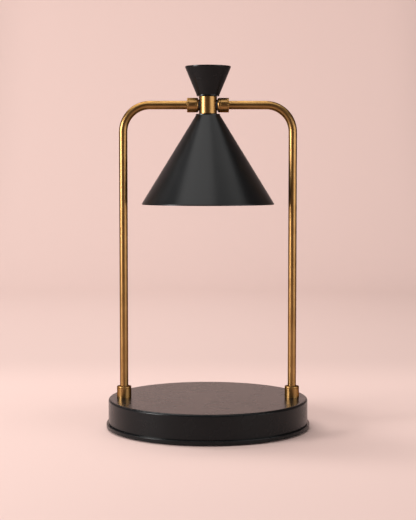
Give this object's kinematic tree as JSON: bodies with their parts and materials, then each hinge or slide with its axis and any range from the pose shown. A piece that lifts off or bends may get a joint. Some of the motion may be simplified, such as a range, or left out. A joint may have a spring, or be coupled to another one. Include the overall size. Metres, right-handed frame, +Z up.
{
  "type": "candle warmer lamp",
  "caption": "Candle warmer lamp: a weighted round base, two bent brass posts and a tilting black conical shade over the space for a jar candle.",
  "frame": {"origin": "centre of the pad's lower face, on the surface the lamp stands on", "axes": "+Z up; X from post to post; +Y to the rear, where the cord gland and the dimmer are"},
  "size_m": [0.1838, 0.1909, 0.3245],
  "materials": {
    "brass": "antique brass, finely brushed along its length and lacquered",
    "bright_brass": "polished brass",
    "black_paint": "satin black powder coat",
    "pad_foam": "closed-cell foam with a fine skin",
    "zinc_steel": "zinc-plated steel",
    "cast_iron": "as cast, oiled",
    "circuit_board": "green board with solder mask",
    "black_nylon": "moulded black nylon",
    "pale_nylon": "moulded pale nylon",
    "film_case": "dipped film capacitor",
    "ferrite": "wound ferrite ring",
    "ceramic": "unglazed white steatite",
    "coated_glass": "pressed glass with a bright coating inside",
    "clear_glass": "clear glass",
    "lead_sleeve": "silicone and glass sleeve"
  },
  "bodies": {
    "base": {"base_collar_left": "brass", "base_collar_right": "brass", "arm_tube_left": "brass", "arm_tube_right": "brass", "arm_bushing_left": "brass", "arm_bushing_right": "brass", "swivel_collar_left": "brass", "swivel_collar_right": "brass", "base_shell": "black_paint", "base_tray": "black_paint", "base_pad": "pad_foam", "shell_studs": "zinc_steel", "tray_screws": "zinc_steel", "ballast_screws": "zinc_steel", "board_spacers": "zinc_steel", "board_screws": "zinc_steel", "gland_nut": "zinc_steel", "dimmer_nut": "zinc_steel", "post_nipples": "zinc_steel", "post_washers": "zinc_steel", "post_nuts": "zinc_steel", "swivel_springs": "zinc_steel", "swivel_stop_screw": "zinc_steel", "ballast_weight": "cast_iron", "dimmer_board": "circuit_board", "cord_gland": "black_nylon", "dimmer_body": "black_nylon", "power_switch_chip": "black_nylon", "terminal_block": "pale_nylon", "capacitor": "film_case", "choke": "ferrite", "lamp_lead_arm": "lead_sleeve"},
    "head": {"hub": "brass", "upper_stud": "zinc_steel", "upper_cup": "black_paint", "finial_washer": "bright_brass", "finial_nut": "bright_brass", "lower_nipple": "zinc_steel", "shade": "black_paint", "shade_washer": "zinc_steel", "holder_strap": "zinc_steel", "strap_nut": "zinc_steel", "strap_screws": "zinc_steel", "lamp_holder": "ceramic", "holder_contacts": "bright_brass", "lamp_lead_head": "lead_sleeve", "swivel_pin_left": "zinc_steel", "swivel_pin_right": "zinc_steel", "swivel_saddles": "black_nylon"},
    "lamp": {"lamp_reflector": "coated_glass", "lamp_front_glass": "clear_glass", "lamp_base": "ceramic", "lamp_pins": "zinc_steel", "lamp_capsule": "clear_glass"},
    "dimmer": {"dimmer_knob": "brass", "dimmer_shaft": "zinc_steel"}
  },
  "joints": [
    {"name": "head_tilt", "type": "hinge", "parent": "base", "child": "head", "pos_m": [0, 0, 0.2901], "axis": [1, 0, 0], "range_deg": [-90, 90]},
    {"name": "lamp_twist", "type": "hinge", "parent": "head", "child": "lamp", "pos_m": [0, 0, 0.25445], "axis": [0, 0, 1], "range_deg": [0, 22]},
    {"name": "dimmer_turn", "type": "hinge", "parent": "base", "child": "dimmer", "pos_m": [0.045, 0.07794, 0.01615], "axis": [0.5, 0.866, 0], "range_deg": [0, 300]}
  ]
}
